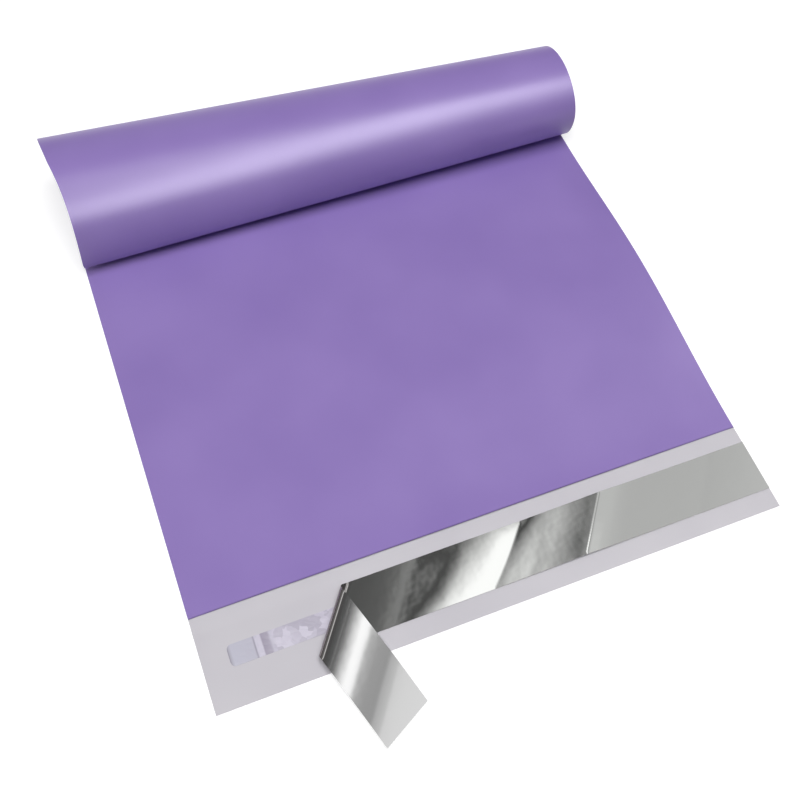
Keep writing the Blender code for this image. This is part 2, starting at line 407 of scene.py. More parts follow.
# %% Edges of the film
LAP_ROOM = 0.0012
LEFT_END = {
    "lift_off": 0.2480,
    "reach": 0.0306,
    "height": 0.0460,
    "front": 0.2170,
    "front_height": 0.0090,
    "touch": 0.2240,
}
RIGHT_END = {
    "lift_off": 0.2359,
    "reach": 0.0226,
    "height": 0.0390,
    "front": 0.2133,
    "front_height": 0.0195,
    "touch": 0.2253,
}
WEB_MIDDLE = 0.0002
MOUTH_ROWS = 6
PANEL_ROWS = 70
ROLL_ROWS = 150
TUCK_ROWS = 24
TUCK_HEADING = math.radians(300)
FLAT_ROWS = MOUTH_ROWS + PANEL_ROWS - 1


def loop_points(heading, end):
    """The web on one end's loop, where it runs at these headings: four quarter ellipses."""
    quarter = np.minimum((heading / (np.pi / 2)).astype(int), 3)
    half_height = end["height"] / 2
    across = np.choose(
        quarter,
        [end["reach"], end["reach"], end["lift_off"] - end["front"], end["touch"] - end["front"]],
    )
    tall = np.choose(
        quarter,
        [
            half_height,
            half_height,
            end["height"] - end["front_height"],
            end["front_height"] - LAP_ROOM,
        ],
    )
    centre_y = np.choose(quarter, [end["lift_off"], end["lift_off"], end["lift_off"], end["touch"]])
    centre_z = np.choose(quarter, [half_height, half_height, end["front_height"], end["front_height"]])
    out = heading - np.pi / 2
    reach = np.hypot(across * np.cos(out), tall * np.sin(out))
    return centre_y + across**2 * np.cos(out) / reach, centre_z + tall**2 * np.sin(out) / reach


def edge_section(end):
    """One side edge of the web: rows of y and z from the lip's edge to the closed end."""
    heading = np.linspace(0, 2 * np.pi, 1441)
    y, z = loop_points(heading, end)
    # Past the loop the web lies on the inside of the film that it meets
    again = np.linspace(0, np.pi, 721)[1:]
    lap_y, lap_z = loop_points(again, end)
    flat = np.linspace(end["touch"], end["lift_off"], 60)[1:]
    y = np.concatenate([y, flat, lap_y - LAP_ROOM * np.sin(again)])
    z = np.concatenate([z, 0 * flat + LAP_ROOM, lap_z + LAP_ROOM * np.cos(again)])
    heading = np.concatenate([heading, 0 * flat + 2 * np.pi, again + 2 * np.pi])
    length = end["lift_off"] + np.concatenate([[0], np.cumsum(np.hypot(np.diff(y), np.diff(z)))])

    mouth = np.linspace(0, LIP_DEPTH, MOUTH_ROWS)
    panel = np.linspace(LIP_DEPTH, end["lift_off"], PANEL_ROWS)[1:]
    turned = np.linspace(0, TUCK_HEADING, ROLL_ROWS)[1:]
    rolled_y, rolled_z = loop_points(turned, end)
    tuck_start = np.interp(TUCK_HEADING, heading, length)
    tucked = np.linspace(tuck_start, WEB_LENGTH, TUCK_ROWS)[1:]
    rows_y = np.concatenate([mouth, panel, rolled_y, np.interp(tucked, length, y)])
    rows_z = np.concatenate([0 * mouth, 0 * panel, rolled_z, np.interp(tucked, length, z)])
    return np.stack([rows_y, rows_z], 1)


left_section = edge_section(LEFT_END)
right_section = edge_section(RIGHT_END)
print("rows on each edge:", len(left_section))

# %% [markdown]
# Each edge becomes a string of points that Geometry Nodes can read. Three things ride on the points
# as attributes. `lift` is how far the right side of the panel bows off the table, as film does when
# it has been rolled. `slack` is 1 where the panel is free to wave a little, and `gape` is 1 at the
# mouth, where the front panel stands a little off the lip.

# %% Edge objects
EDGE_LIFT = 0.005
EDGE_LIFT_SPAN = (0.045, 0.222)
SLACK_SPAN = (LIP_DEPTH, 0.235)
GAPE_DEPTH = 0.018
EDGE_DRIFT = 0.002


def bell(value, low, high):
    """0 outside a span, rising smoothly to 1 in its middle."""
    return np.sin(np.pi * np.clip((value - low) / (high - low), 0, 1)) ** 2


def edge_object(name, side, section, drift):
    """A side edge as a string of points, on the left side at 0 or the right side at 1."""
    y, z = section.T
    flat = np.arange(len(y)) < FLAT_ROWS
    x = side * BAG_WIDTH + drift
    mesh = bpy.data.meshes.new(name)
    mesh.from_pydata(plan(np.stack([x, y, z + WEB_MIDDLE], 1)).tolist(), [], [])
    for label, values in (
        ("lift", np.where(flat, EDGE_LIFT * bell(y, *EDGE_LIFT_SPAN), 0.0)),
        ("slack", np.where(flat, bell(y, *SLACK_SPAN) ** 0.5, 0.0)),
        ("gape", np.where(flat, np.clip(1 - (y - LIP_DEPTH) / GAPE_DEPTH, 0, 1) ** 2, 0.0)),
    ):
        mesh.attributes.new(label, "FLOAT", "POINT").data.foreach_set("value", values)
    made = bpy.data.objects.new(name, mesh)
    bpy.context.scene.collection.objects.link(made)
    return made


# Over the roll's top and down its front the left edge drifts in and out again, as a loose roll's does
roll_turn = np.linspace(0, TUCK_HEADING, ROLL_ROWS)[1:]
on_front = (roll_turn > np.pi / 2) & (roll_turn < 3 * np.pi / 2)
left_drift = np.zeros(len(left_section))
left_drift[FLAT_ROWS : -TUCK_ROWS + 1] = EDGE_DRIFT * np.where(on_front, np.sin(2 * roll_turn), 0.0)
left_edge = edge_object("left_edge", 0.0, left_section, left_drift)
right_edge = edge_object("right_edge", 1.0, right_section, np.zeros(len(right_section)))
print("edge points:", len(left_edge.data.vertices), len(right_edge.data.vertices))

# %% [markdown]
# A rule like this one is work for Geometry Nodes. The tree makes a grid, finds for each of its points
# the same row on both edges, and mixes the two places by the point's share of the width. It then
# lifts and waves the sheet, copies it into a back layer and a front layer that starts at the mouth,
# and notes which way was up, so that the inside can be told from the outside later.

# %% Geometry Nodes: film between two edges
def new_tree(name, inputs):
    """A geometry tree with its group nodes, and each named input's identifier."""
    tree = bpy.data.node_groups.new(name, "GeometryNodeTree")
    tree.interface.new_socket("Geometry", in_out="OUTPUT", socket_type="NodeSocketGeometry")
    keys = {
        label: tree.interface.new_socket(label, in_out="INPUT", socket_type=kind).identifier
        for label, kind in inputs.items()
    }
    return tree, add(tree, "NodeGroupInput").outputs, keys


def named(tree, label, kind="FLOAT"):
    """Reads a named attribute."""
    return add(tree, "GeometryNodeInputNamedAttribute", {"Name": label}, data_type=kind).outputs[0]


def film_nodes():
    tree, given, keys = new_tree(
        "film between two edges",
        {
            "Left Edge": "NodeSocketObject",
            "Right Edge": "NodeSocketObject",
            "Columns": "NodeSocketInt",
            "Mouth Row": "NodeSocketInt",
            "Layer Step": "NodeSocketFloat",
            "Lift From": "NodeSocketFloat",
            "Wave Height": "NodeSocketFloat",
            "Wave Size": "NodeSocketFloat",
            "Gape": "NodeSocketFloat",
            "Material": "NodeSocketMaterial",
        },
    )
    left = add(tree, "GeometryNodeObjectInfo", {"Object": given["Left Edge"]}).outputs["Geometry"]
    right = add(tree, "GeometryNodeObjectInfo", {"Object": given["Right Edge"]}).outputs["Geometry"]
    rows = add(tree, "GeometryNodeAttributeDomainSize", {"Geometry": left}).outputs["Point Count"]
    grid = add(
        tree,
        "GeometryNodeMeshGrid",
        {"Size X": 1.0, "Size Y": 1.0, "Vertices X": given["Columns"], "Vertices Y": rows},
    ).outputs["Mesh"]
    index = add(tree, "GeometryNodeInputIndex").outputs[0]
    row = add(tree, "FunctionNodeIntegerMath", {0: index, 1: rows}, operation="MODULO").outputs[0]
    position = add(tree, "GeometryNodeInputPosition").outputs[0]
    across = add(tree, "ShaderNodeSeparateXYZ", {0: position}).outputs["X"]
    grid_share = maths(tree, "ADD", across, 0.5)
    kept = add(
        tree,
        "GeometryNodeStoreNamedAttribute",
        {"Geometry": grid, "Name": "share", "Value": grid_share},
        data_type="FLOAT",
        domain="POINT",
    ).outputs[0]
    share = named(tree, "share")

    def on_edge(edge, value, kind):
        inputs = {"Geometry": edge, "Value": value, "Index": row}
        return add(tree, "GeometryNodeSampleIndex", inputs, data_type=kind, domain="POINT").outputs[0]

    def edge_value(label):
        return on_edge(right, named(tree, label), "FLOAT")

    place = add(
        tree,
        "ShaderNodeMix",
        {
            0: share,
            4: on_edge(left, position, "FLOAT_VECTOR"),
            5: on_edge(right, position, "FLOAT_VECTOR"),
        },
        data_type="VECTOR",
    ).outputs[1]
    # The panel's right side bows up, and the bow dies away towards the middle
    aside = spread(tree, share, (given["Lift From"], 1.0))
    bow = maths(tree, "MULTIPLY", edge_value("lift"), maths(tree, "POWER", aside, 2.0))
    # Long low waves, none of them at the side seams
    to_side = maths(tree, "POWER", maths(tree, "MULTIPLY", across, 2.0), 4.0)
    middle = maths(tree, "SUBTRACT", 1.0, to_side)
    free = add(
        tree,
        "GeometryNodeStoreNamedAttribute",
        {"Geometry": kept, "Name": "free", "Value": middle},
        data_type="FLOAT",
        domain="POINT",
    ).outputs[0]
    free_value = named(tree, "free")
    swell = add(
        tree,
        "ShaderNodeTexNoise",
        {"Vector": place, "Scale": maths(tree, "DIVIDE", 1.0, given["Wave Size"]), "Detail": 1.0},
    ).outputs[0]
    wave = maths(tree, "MULTIPLY", swell, given["Wave Height"])
    wave = maths(tree, "MULTIPLY", wave, edge_value("slack"))
    height = maths(tree, "ADD", bow, maths(tree, "MULTIPLY", wave, free_value))
    raised = add(tree, "ShaderNodeCombineXYZ", {"Z": height}).outputs[0]
    sheet = add(
        tree, "GeometryNodeSetPosition", {"Geometry": free, "Position": place, "Offset": raised}
    ).outputs[0]

    normal = add(tree, "GeometryNodeInputNormal").outputs[0]
    noted = add(
        tree,
        "GeometryNodeStoreNamedAttribute",
        {"Geometry": sheet, "Name": "web_normal", "Value": normal},
        data_type="FLOAT_VECTOR",
        domain="POINT",
    ).outputs[0]
    web_normal = named(tree, "web_normal", "FLOAT_VECTOR")
    gape = maths(tree, "MULTIPLY", edge_value("gape"), given["Gape"])
    gape = maths(tree, "MULTIPLY", gape, free_value)

    def layer(is_front, step):
        away = scaled(tree, web_normal, step)
        moved = add(tree, "GeometryNodeSetPosition", {"Geometry": noted, "Offset": away}).outputs[0]
        if is_front:
            opened = add(tree, "ShaderNodeCombineXYZ", {"Z": gape}).outputs[0]
            moved = add(
                tree, "GeometryNodeSetPosition", {"Geometry": moved, "Offset": opened}
            ).outputs[0]
            before = add(
                tree,
                "FunctionNodeCompare",
                {2: row, 3: given["Mouth Row"]},
                data_type="INT",
                operation="LESS_THAN",
            ).outputs[0]
            moved = add(
                tree,
                "GeometryNodeDeleteGeometry",
                {"Geometry": moved, "Selection": before},
                domain="POINT",
            ).outputs[0]
        return add(
            tree,
            "GeometryNodeStoreNamedAttribute",
            {"Geometry": moved, "Name": "front", "Value": float(is_front)},
            data_type="FLOAT",
            domain="FACE",
        ).outputs[0]

    half_step = maths(tree, "MULTIPLY", given["Layer Step"], 0.5)
    back = layer(False, maths(tree, "MULTIPLY", half_step, -1.0))
    front = layer(True, half_step)
    joined = add(tree, "GeometryNodeJoinGeometry")
    for part in (front, back):
        tree.links.new(part, joined.inputs[0])
    real = add(tree, "GeometryNodeRealizeInstances", {"Geometry": joined.outputs[0]}).outputs[0]
    inputs = {"Geometry": real, "Material": given["Material"]}
    dressed = add(tree, "GeometryNodeSetMaterial", inputs).outputs[0]
    add(tree, "NodeGroupOutput", {"Geometry": dressed})
    return tree, keys


film_tree, film_keys = film_nodes()
print("film tree:", len(film_tree.nodes), "nodes, inputs", list(film_keys))

# %% [markdown]
# The tree runs as a modifier on an empty mesh, and a Solidify modifier after it gives both layers
# their thickness. Real film is about 0.06 mm thick. Here it is 0.1 mm, so that its edges just show.
# The result is kept as a plain mesh. Then each face that looks into the pocket, or lies on top of
# the lip, gets the pale inside finish.

# %% Film piece
FILM = 0.0001
LAYER_STEP = 0.00015
FILM_COLUMNS = 97
MOUTH_GAPE = 0.0007
WAVE_HEIGHT = 0.0006
WAVE_SIZE = 0.055
LIFT_FROM = 0.55


def bake(piece):
    """Turns a piece with modifiers into a plain mesh."""
    graph = bpy.context.evaluated_depsgraph_get()
    mesh = bpy.data.meshes.new_from_object(
        piece.evaluated_get(graph), preserve_all_data_layers=True, depsgraph=graph
    )
    piece.modifiers.clear()
    piece.data = mesh
    mesh.name = piece.name
    mesh.shade_smooth()
    mesh.set_sharp_from_angle(angle=math.radians(50))
    return mesh


def node_piece(name, tree, keys, values, thickness):
    """A piece made by a tree, with a wall of the given thickness."""
    piece = bpy.data.objects.new(name, bpy.data.meshes.new(name))
    bpy.context.scene.collection.objects.link(piece)
    nodes = piece.modifiers.new("shape", "NODES")
    nodes.node_group = tree
    for label, value in values.items():
        nodes[keys[label]] = value
    wall = piece.modifiers.new("thickness", "SOLIDIFY")
    wall.thickness = thickness
    wall.offset = 0.0
    bake(piece)
    return piece


def values_of(mesh, label, size=1):
    """A named attribute as an array."""
    layer = mesh.attributes[label]
    out = np.empty(len(layer.data) * size)
    layer.data.foreach_get("value" if size == 1 else "vector", out)
    return out.reshape(-1, size) if size > 1 else out


def facing(mesh, label):
    """How far each face looks the way that the sheet's own normal did: 1, -1, or 0 on a rim."""
    normals = np.empty(len(mesh.polygons) * 3)
    mesh.polygons.foreach_get("normal", normals)
    corner = np.array([polygon.vertices[0] for polygon in mesh.polygons])
    return (normals.reshape(-1, 3) * values_of(mesh, label, 3)[corner]).sum(axis=1)


def two_finishes(mesh, first, second, is_second):
    """Gives each face the first material, or the second where its flag says so."""
    mesh.materials.clear()
    mesh.materials.append(first)
    mesh.materials.append(second)
    mesh.polygons.foreach_set("material_index", is_second.astype(np.int32))
    mesh.update()


film = node_piece(
    "film_web",
    film_tree,
    film_keys,
    {
        "Left Edge": left_edge,
        "Right Edge": right_edge,
        "Columns": FILM_COLUMNS,
        "Mouth Row": MOUTH_ROWS - 1,
        "Layer Step": LAYER_STEP,
        "Lift From": LIFT_FROM,
        "Wave Height": WAVE_HEIGHT,
        "Wave Size": WAVE_SIZE,
        "Gape": MOUTH_GAPE,
        "Material": violet_film,
    },
    FILM,
)
for edge in (left_edge, right_edge):
    bpy.data.objects.remove(edge)

film_facing = facing(film.data, "web_normal")
on_front_layer = values_of(film.data, "front") > 0.5
into_pocket = np.where(on_front_layer, film_facing < -0.5, film_facing > 0.5)
two_finishes(film.data, violet_film, pale_film, into_pocket)
print("film:", len(film.data.polygons), "faces,", int(into_pocket.sum()), "of them pale")

# %% [markdown]
# The adhesive is a strip of clear hot-melt on the lip. Where the liner has come off, its skin is
# drawn into small facets with bright edges. Its grid is fine only where it shows. A cell pattern
# lifts the facets, and they die out towards the strip's edges and its smoother left end, which has
# one crease. Across that end the colour holds painted shade and highlight: a darker left edge, a
# dark line before the crease, a light band after it and a darker band past that. Further on, each
# patch of the skin is painted a lighter or darker tone, as painted highlight and shade of its bends.

# %% Adhesive
ADHESIVE_WIDTH = 0.009
ADHESIVE_INSET = 0.0157
ADHESIVE_END_GAP = 0.011
ADHESIVE_CORNER = 0.002
ADHESIVE_LOW = 0.00022
ADHESIVE_HIGH = 0.00034
FACET = 0.0045
FACET_HEIGHT = 0.00035
FACETS_GROW = (0.010, 0.016)
FACETS_END = (0.052, 0.056)
FINE_LENGTH = 0.060
CREASE_AT = 0.0115
CREASE_WIDTH = 0.0007
CREASE_HEIGHT = 0.0003

SHADE_BANDS_MM = 20.0
# Painted shade and highlight across the adhesive's left end, as places in mm and colours.
GLUE_SHADE_BANDS = (
    (0.0, "#9e99a8"),
    (0.7, "#b9b7c4"),
    (1.6, "#c6c5d3"),
    (10.4, "#c4c2d0"),
    (11.0, "#a8a3b3"),
    (11.5, "#d2cedd"),
    (13.6, "#d4cfde"),
    (14.2, "#aaa3b4"),
    (16.8, "#b3adbd"),
    (17.6, "#c9c5d4"),
    (20.0, "#cac6d5"),
)
CREASED_SPAN = (0.0175, 0.0195)
# Painted highlight and shade, patch by patch: the patch size, and the size and strength of the bend in
# their outlines.
LIT_PATCH_MM = 4.2
LIT_PATCH_BEND_MM = 3.0
LIT_PATCH_BEND = 0.004

glue, glue_tree, glue_shader = new_material("clear_hot_melt_adhesive")
glue_shader.inputs["Roughness"].default_value = 0.15
glue_shader.inputs["IOR"].default_value = 1.48
glue_where = add(glue_tree, "ShaderNodeTexCoord").outputs["Object"]
glue_x = add(glue_tree, "ShaderNodeSeparateXYZ", {0: glue_where}).outputs["X"]
glue_start = ADHESIVE_END_GAP - PANEL_MIDDLE[0]
# Painted shade and highlight: a darker left edge, and dark and light lines beside the crease.
left_end_shade = ramp(
    glue_tree,
    spread(glue_tree, glue_x, (glue_start, glue_start + SHADE_BANDS_MM / 1000)),
    [(where / SHADE_BANDS_MM, colour(hex_code)) for where, hex_code in GLUE_SHADE_BANDS],
)
glue_waves = add(
    glue_tree,
    "ShaderNodeTexNoise",
    {"Vector": glue_where, "Scale": 1000 / LIT_PATCH_BEND_MM, "Detail": 1.0},
)
glue_bend = scaled(glue_tree, glue_waves.outputs["Color"], LIT_PATCH_BEND)
glue_bent = add(glue_tree, "ShaderNodeVectorMath", {0: glue_where, 1: glue_bend}, operation="ADD")
# Painted highlight and shade: each patch of the skin gets a lighter or darker tone, as its bends would
# catch the light.
lit_patch_cells = add(
    glue_tree, "ShaderNodeTexVoronoi", {"Vector": glue_bent.outputs[0], "Scale": 1000 / LIT_PATCH_MM}
)
painted_patch_light = ramp(
    glue_tree,
    add(glue_tree, "ShaderNodeSeparateXYZ", {0: lit_patch_cells.outputs["Color"]}).outputs["X"],
    [(0.1, colour("#bcb7c6")), (0.9, colour("#d7d2e1"))],
)
creased = spread(glue_tree, glue_x, [glue_start + place for place in CREASED_SPAN])
glue_mix = add(
    glue_tree,
    "ShaderNodeMix",
    {0: creased, 6: left_end_shade.outputs["Color"], 7: painted_patch_light.outputs["Color"]},
    data_type="RGBA",
)
glue_tree.links.new(glue_mix.outputs[2], glue_shader.inputs["Base Color"])


def rise(value, low, high):
    """0 below a span, 1 above it, and a straight climb between."""
    return min(1.0, max(0.0, (value - low) / (high - low)))


def adhesive_mesh():
    """A strip with round corners: a grid whose rows shorten near its ends, lifted into facets."""
    length = BAG_WIDTH - 2 * ADHESIVE_END_GAP
    fine = np.linspace(0, FINE_LENGTH, 241)
    along = np.concatenate([fine, np.linspace(FINE_LENGTH, length, 30)[1:]])
    across = np.linspace(-0.5, 0.5, 41)
    near_end = np.minimum(along, length - along)
    round_part = np.clip(1 - near_end / ADHESIVE_CORNER, 0, 1)
    narrow = 2 * ADHESIVE_CORNER * (1 - np.sqrt(1 - round_part**2))
    points = []
    for x, trim, to_end in zip(along, narrow, near_end):
        for share in across:
            y = share * (ADHESIVE_WIDTH - trim)
            near_side = (0.5 - abs(share)) * ADHESIVE_WIDTH
            calm = rise(near_side, 0, 0.0012) * rise(to_end, 0, 0.002)
            calm *= (0.35 + 0.65 * rise(x, *FACETS_GROW)) * (1 - rise(x, *FACETS_END))
            distances, _ = noise.voronoi(Vector((x / FACET, (1.5 * y + 0.6 * x) / FACET, 3.7)))
            facet = min(1.0, 1.6 * (distances[1] - distances[0]))
            crease = math.exp(-(((x - CREASE_AT - 0.1 * y) / CREASE_WIDTH) ** 2))
            lift = FACET_HEIGHT * calm * (0.25 + 0.75 * facet)
            lift += CREASE_HEIGHT * crease * rise(near_side, 0, 0.001)
            middle_y = ADHESIVE_INSET + ADHESIVE_WIDTH / 2
            points.append((ADHESIVE_END_GAP + x, middle_y + y, ADHESIVE_HIGH + lift))
    top = np.array(points)
    bottom = top.copy()
    bottom[:, 2] = ADHESIVE_LOW
    rows, columns = len(along), len(across)
    at = np.arange(rows * columns).reshape(rows, columns)
    faces = []
    for i in range(rows - 1):
        for j in range(columns - 1):
            quad = (at[i, j], at[i + 1, j], at[i + 1, j + 1], at[i, j + 1])
            faces.append(quad)
            faces.append(tuple(k + rows * columns for k in reversed(quad)))
    rim = np.concatenate([at[:, 0], at[-1, 1:], at[-2::-1, -1], at[0, -2:0:-1]])
    for a, b in zip(rim, np.roll(rim, -1)):
        faces.append((b, a, a + rows * columns, b + rows * columns))
    mesh = bpy.data.meshes.new("adhesive")
    faces = [tuple(map(int, face)) for face in faces]
    mesh.from_pydata(plan(np.vstack([top, bottom])).tolist(), [], faces)
    mesh.shade_smooth()
    mesh.set_sharp_from_angle(angle=math.radians(50))
    return mesh


adhesive_skin = adhesive_mesh()
adhesive_skin.materials.append(glue)
adhesive_piece = bpy.data.objects.new("adhesive", adhesive_skin)
bpy.context.scene.collection.objects.link(adhesive_piece)
print("adhesive:", len(adhesive_skin.polygons), "faces")

# %% [markdown]
# The release liner is a narrow strip of mirror film. Someone has lifted its left end and laid it
# back over itself, at a slant, so it bends along one set of parallel lines. Such a strip is fixed by
# a single profile across those lines: from the peeled end, up the gentle slope of the tail, round
# the curl, and along the low waves of the part that is still stuck. The profile is built from its
# slope, step by step, so that it keeps the strip's true length. Each row of the two tables is a
# distance from the fold in mm, and the slope there: in degrees on the tail, and as a rise on the
# stuck part, whose slopes are small.

# %% Liner profile
LINER_WIDTH = 0.0236
LINER_INSET = 0.0087
LINER_FOLD_LEFT = 0.0451
LINER_FOLD_SKEW = 0.0173
LINER_CURL_RADIUS = 0.0025
LINER_HEIGHT = 0.00058
PROFILE_STEP = 0.0001
TAIL_SLOPES = (
    (7.9, 0.8),
    (9.4, 0.2),
    (11.8, -1.8),
    (17.5, -2.9),
    (23.0, -5.0),
    (31.0, -5.3),
    (37.0, -9.8),
    (53.0, -10.8),
)
STUCK_SLOPES = (
    (0, 0.0),
    (58.2, -0.002),
    (59.0, 0.036),
    (70, 0.035),
    (76, 0.041),
    (82, 0.054),
    (88, 0.067),
    (91.6, 0.068),
    (92.0, -0.094),
    (95.5, -0.088),
    (100, -0.056),
    (105, -0.034),
    (125, -0.014),
    (150, 0.0),
    (200, 0.01),
)
WAVES_OPEN = (0.026, 0.042)
WAVES_CLOSE = (0.052, 0.072)
LINER_END_SKEW = -0.0045
LINER_CROWN = 0.0004
LINER_WAVE_SKEW = 0.0065

fold = np.array([LINER_FOLD_SKEW, LINER_WIDTH])
fold_direction = fold / np.hypot(*fold)
across_fold = np.array([fold_direction[1], -fold_direction[0]])
fold_start = LINER_FOLD_LEFT + LINER_CURL_RADIUS / across_fold[0]
tail_length = (fold_start + LINER_FOLD_SKEW) * across_fold[0]
stuck_length = (BAG_WIDTH - fold_start) * across_fold[0]


def followed(slope):
    """How far a strip has come and how high it has risen, step by step, from its slope."""
    middle = (slope[1:] + slope[:-1]) / 2
    on = np.concatenate([[0.0], np.cumsum(np.cos(middle)) * PROFILE_STEP])
    up = LINER_HEIGHT + np.concatenate([[0.0], np.cumsum(np.sin(middle)) * PROFILE_STEP])
    return on, up


peeled_away = np.arange(0, tail_length + PROFILE_STEP, PROFILE_STEP)
on_curl = peeled_away < np.pi * LINER_CURL_RADIUS
tail_slope = np.radians(np.interp(peeled_away * 1000, *zip(*TAIL_SLOPES)))
peeled_slope = np.where(on_curl, np.pi - peeled_away / LINER_CURL_RADIUS, tail_slope)
peeled_back, peeled_up = followed(peeled_slope)

stuck_away = np.arange(0, stuck_length + PROFILE_STEP, PROFILE_STEP)
stuck_back, stuck_up = followed(np.interp(stuck_away * 1000, *zip(*STUCK_SLOPES)))
stuck_up = np.maximum(stuck_up, LINER_HEIGHT)

profile_points = np.concatenate(
    [
        np.stack([peeled_back, 0 * peeled_back, peeled_up], 1)[::-1],
        np.stack([stuck_back, 0 * stuck_back, stuck_up], 1)[1:],
    ]
)
print("tail end", round(float(peeled_up[-1]) * 1000, 1), "mm up, waves up to",
      round(float(stuck_up.max() - LINER_HEIGHT) * 1000, 2), "mm, right end",
      round(float(stuck_up[-1] - LINER_HEIGHT) * 1000, 2), "mm")

# %% [markdown]
# The liner's tree lays out the flat strip as a grid, measures how far each point is from the fold,
# and reads its new place off the profile at that length. A strip cut by hand isn't quite square, a
# stuck one is a little higher along its middle, and its waves don't run quite true to the fold: End
# Skew, Crown and Wave Skew say by how much.

# %% Geometry Nodes: strip bent over a profile
def curve_object(name, points):
    line = bpy.data.curves.new(name, "CURVE")
    line.dimensions = "3D"
    spline = line.splines.new("POLY")
    spline.points.add(len(points) - 1)
    spline.points.foreach_set("co", np.column_stack([points, np.ones(len(points))]).ravel())
    made = bpy.data.objects.new(name, line)
    bpy.context.scene.collection.objects.link(made)
    return made


def strip_nodes():
    tree, given, keys = new_tree(
        "strip bent over a profile",
        {
            "Profile": "NodeSocketObject",
            "Corner": "NodeSocketVector",
            "Length": "NodeSocketFloat",
            "Width": "NodeSocketFloat",
            "Fold Start": "NodeSocketFloat",
            "Fold Skew": "NodeSocketFloat",
            "End Skew": "NodeSocketFloat",
            "Crown": "NodeSocketFloat",
            "Wave Skew": "NodeSocketFloat",
            "Across Fold": "NodeSocketVector",
            "Peeled Length": "NodeSocketFloat",
            "Rows": "NodeSocketInt",
            "Columns": "NodeSocketInt",
            "Material": "NodeSocketMaterial",
        },
    )
    profile = add(tree, "GeometryNodeObjectInfo", {"Object": given["Profile"]}).outputs["Geometry"]
    grid = add(
        tree,
        "GeometryNodeMeshGrid",
        {"Size X": 1.0, "Size Y": 1.0, "Vertices X": given["Rows"], "Vertices Y": given["Columns"]},
    ).outputs["Mesh"]
    position = add(tree, "GeometryNodeInputPosition").outputs[0]
    flat = add(tree, "ShaderNodeSeparateXYZ", {0: position}).outputs
    across_share = maths(tree, "ADD", flat["Y"], 0.5)
    # The peeled end isn't cut quite square
    end_x = maths(tree, "MULTIPLY", flat["Y"], maths(tree, "MULTIPLY", given["End Skew"], -1.0))
    to_end = maths(tree, "SUBTRACT", given["Length"], end_x)
    x = maths(tree, "MULTIPLY_ADD", maths(tree, "ADD", flat["X"], 0.5), to_end, end_x)
    y = maths(tree, "MULTIPLY", across_share, given["Width"])
    fold_x = maths(tree, "MULTIPLY_ADD", across_share, given["Fold Skew"], given["Fold Start"])
    fold_way = add(tree, "ShaderNodeSeparateXYZ", {0: given["Across Fold"]}).outputs["X"]
    away = maths(tree, "MULTIPLY", maths(tree, "SUBTRACT", x, fold_x), fold_way)
    # Two steps that open and close the stretch of the stuck part with the tall waves
    rising = spread(tree, away, WAVES_OPEN, interpolation_type="SMOOTHSTEP")
    falling = spread(tree, away, WAVES_CLOSE[::-1], interpolation_type="SMOOTHSTEP")

    def profile_at(where):
        inputs = {"Curves": profile, "Length": maths(tree, "ADD", where, given["Peeled Length"])}
        sampled = add(tree, "GeometryNodeSampleCurve", inputs, mode="LENGTH")
        return add(tree, "ShaderNodeSeparateXYZ", {0: sampled.outputs["Position"]}).outputs

    travel = maths(tree, "SUBTRACT", profile_at(away)["X"], away)
    # There the waves run a little askew of the fold
    turned = maths(tree, "MULTIPLY", maths(tree, "MULTIPLY", rising, falling), given["Wave Skew"])
    height = profile_at(maths(tree, "SUBTRACT", away, maths(tree, "MULTIPLY", turned, flat["Y"])))["Z"]
    slid = scaled(tree, given["Across Fold"], travel)
    # There too the strip is a little higher along its middle than along its edges
    from_middle = maths(tree, "MULTIPLY", flat["Y"], flat["Y"])
    crown = maths(tree, "MULTIPLY", maths(tree, "SUBTRACT", 0.25, from_middle), given["Crown"])
    z = maths(tree, "MULTIPLY_ADD", maths(tree, "MULTIPLY", crown, rising), falling, height)
    start = add(tree, "ShaderNodeCombineXYZ", {"X": x, "Y": y, "Z": z}).outputs[0]
    bent = add(tree, "ShaderNodeVectorMath", {0: start, 1: slid}, operation="ADD").outputs[0]
    placed = add(
        tree, "ShaderNodeVectorMath", {0: bent, 1: given["Corner"]}, operation="ADD"
    ).outputs[0]
    noted = add(
        tree,
        "GeometryNodeStoreNamedAttribute",
        {"Geometry": grid, "Name": "away", "Value": away},
        data_type="FLOAT",
        domain="POINT",
    ).outputs[0]
    strip = add(tree, "GeometryNodeSetPosition", {"Geometry": noted, "Position": placed}).outputs[0]
    normal = add(tree, "GeometryNodeInputNormal").outputs[0]
    strip = add(
        tree,
        "GeometryNodeStoreNamedAttribute",
        {"Geometry": strip, "Name": "strip_normal", "Value": normal},
        data_type="FLOAT_VECTOR",
        domain="POINT",
    ).outputs[0]
    real = add(tree, "GeometryNodeRealizeInstances", {"Geometry": strip}).outputs[0]
    inputs = {"Geometry": real, "Material": given["Material"]}
    dressed = add(tree, "GeometryNodeSetMaterial", inputs).outputs[0]
    add(tree, "NodeGroupOutput", {"Geometry": dressed})
    return tree, keys


strip_tree, strip_keys = strip_nodes()
profile_line = curve_object("liner_profile", profile_points)
print("strip tree:", len(strip_tree.nodes), "nodes")

# %% [markdown]
# The liner is polyester film with a layer of aluminium, so it is a metal to the eye: nearly neutral
# grey, and a mirror with a little blur. Its release side has a thin silicone coat that blurs it more.
# Round the curl of the fold both sides are painted darker and browner: a painted dark reflection.

# %% Liner piece
LINER_FILM = 0.00008
LINER_ROWS = 1601
LINER_COLUMNS = 25
# Painted dark reflection on the curl: the spans, from the fold, over which it fades in and out.
CURL_DARK_START = (-0.0095, -0.0060)
CURL_DARK_END = (0.0015, -0.0005)
RIPPLE_MM = 9.0
RIPPLE_RELIEF = 0.00003
LINER_LENGTH = BAG_WIDTH


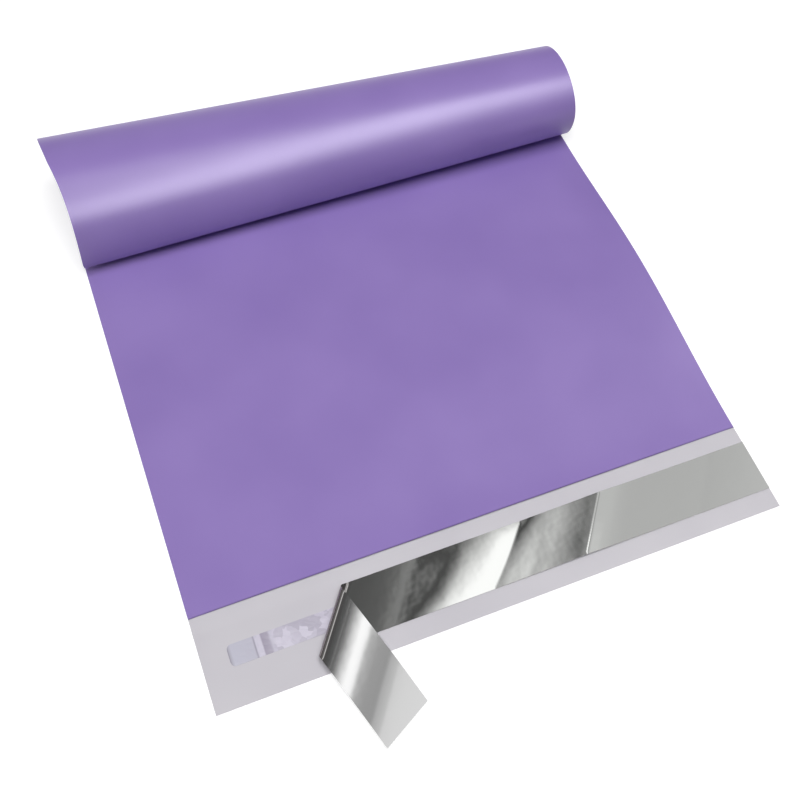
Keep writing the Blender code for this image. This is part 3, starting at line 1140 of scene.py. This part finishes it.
def foil(name, hex_code, roughness, painted_curl_dark=None):
    """A mirror film, with a painted dark reflection round the fold's curl if that colour is given."""
    made, tree, shader = new_material(name)
    shader.inputs["Base Color"].default_value = colour(hex_code)
    # Painted dark reflection: the curl of the fold is painted darker and browner, as if it mirrored
    # dark surroundings.
    if painted_curl_dark:
        away = add(tree, "ShaderNodeAttribute", {}, attribute_name="away").outputs["Fac"]
        share = maths(tree, "MULTIPLY", spread(tree, away, CURL_DARK_START), spread(tree, away, CURL_DARK_END))
        blend = {0: share, 6: colour(hex_code), 7: colour(painted_curl_dark)}
        mixed = add(tree, "ShaderNodeMix", blend, data_type="RGBA").outputs[2]
        tree.links.new(mixed, shader.inputs["Base Color"])
    shader.inputs["Metallic"].default_value = 1.0
    shader.inputs["Roughness"].default_value = roughness
    where = add(tree, "ShaderNodeTexCoord").outputs["Object"]
    ripple = add(
        tree, "ShaderNodeTexNoise", {"Vector": where, "Scale": 1000 / RIPPLE_MM, "Detail": 2.0}
    )
    relief = add(
        tree,
        "ShaderNodeBump",
        {"Height": ripple.outputs["Fac"], "Distance": RIPPLE_RELIEF, "Strength": 0.6},
    )
    tree.links.new(relief.outputs[0], shader.inputs["Normal"])
    return made


mirror_side = foil("aluminised_polyester_film", "#e2e3e1", 0.05, "#bcb8b7")
release_side = foil("silicone_coated_polyester_film", "#e3e3e3", 0.08, "#a8a1a0")
liner = node_piece(
    "liner",
    strip_tree,
    strip_keys,
    {
        "Profile": profile_line,
        "Corner": tuple(plan((0.0, LINER_INSET, 0.0))),
        "Length": LINER_LENGTH,
        "Width": LINER_WIDTH,
        "Fold Start": fold_start,
        "Fold Skew": LINER_FOLD_SKEW,
        "End Skew": LINER_END_SKEW,
        "Crown": LINER_CROWN,
        "Wave Skew": LINER_WAVE_SKEW,
        "Across Fold": (across_fold[0], across_fold[1], 0.0),
        "Peeled Length": tail_length,
        "Rows": LINER_ROWS,
        "Columns": LINER_COLUMNS,
        "Material": mirror_side,
    },
    LINER_FILM,
)
bpy.data.objects.remove(profile_line)
two_finishes(liner.data, mirror_side, release_side, facing(liner.data, "strip_normal") < -0.5)
print("liner:", len(liner.data.polygons), "faces")

# %% [markdown]
# The strip light would show in the mirror film as a white bar that the real liner doesn't have. In a
# studio a flag, which is a black card on a stand, keeps a lamp off one thing. Light linking is
# Blender's flag: the strip light reaches the bag's film and nothing else.

# %% A flag for the strip light
film_only = bpy.data.collections.new("lit_by_the_strip_light")
film_only.objects.link(film)
strip_light.light_linking.receiver_collection = film_only

# %% [markdown]
# Last, each piece takes the place of its measured solid and rides on the one body.

# %% Hand the pieces over
for piece, node, material_slot in (
    (film, "mailer_bag", "violet_film"),
    (adhesive_piece, "adhesive_strip", "clear_adhesive"),
    (liner, "release_liner", "silver_film"),
):
    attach(piece, "root")
    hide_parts(node)
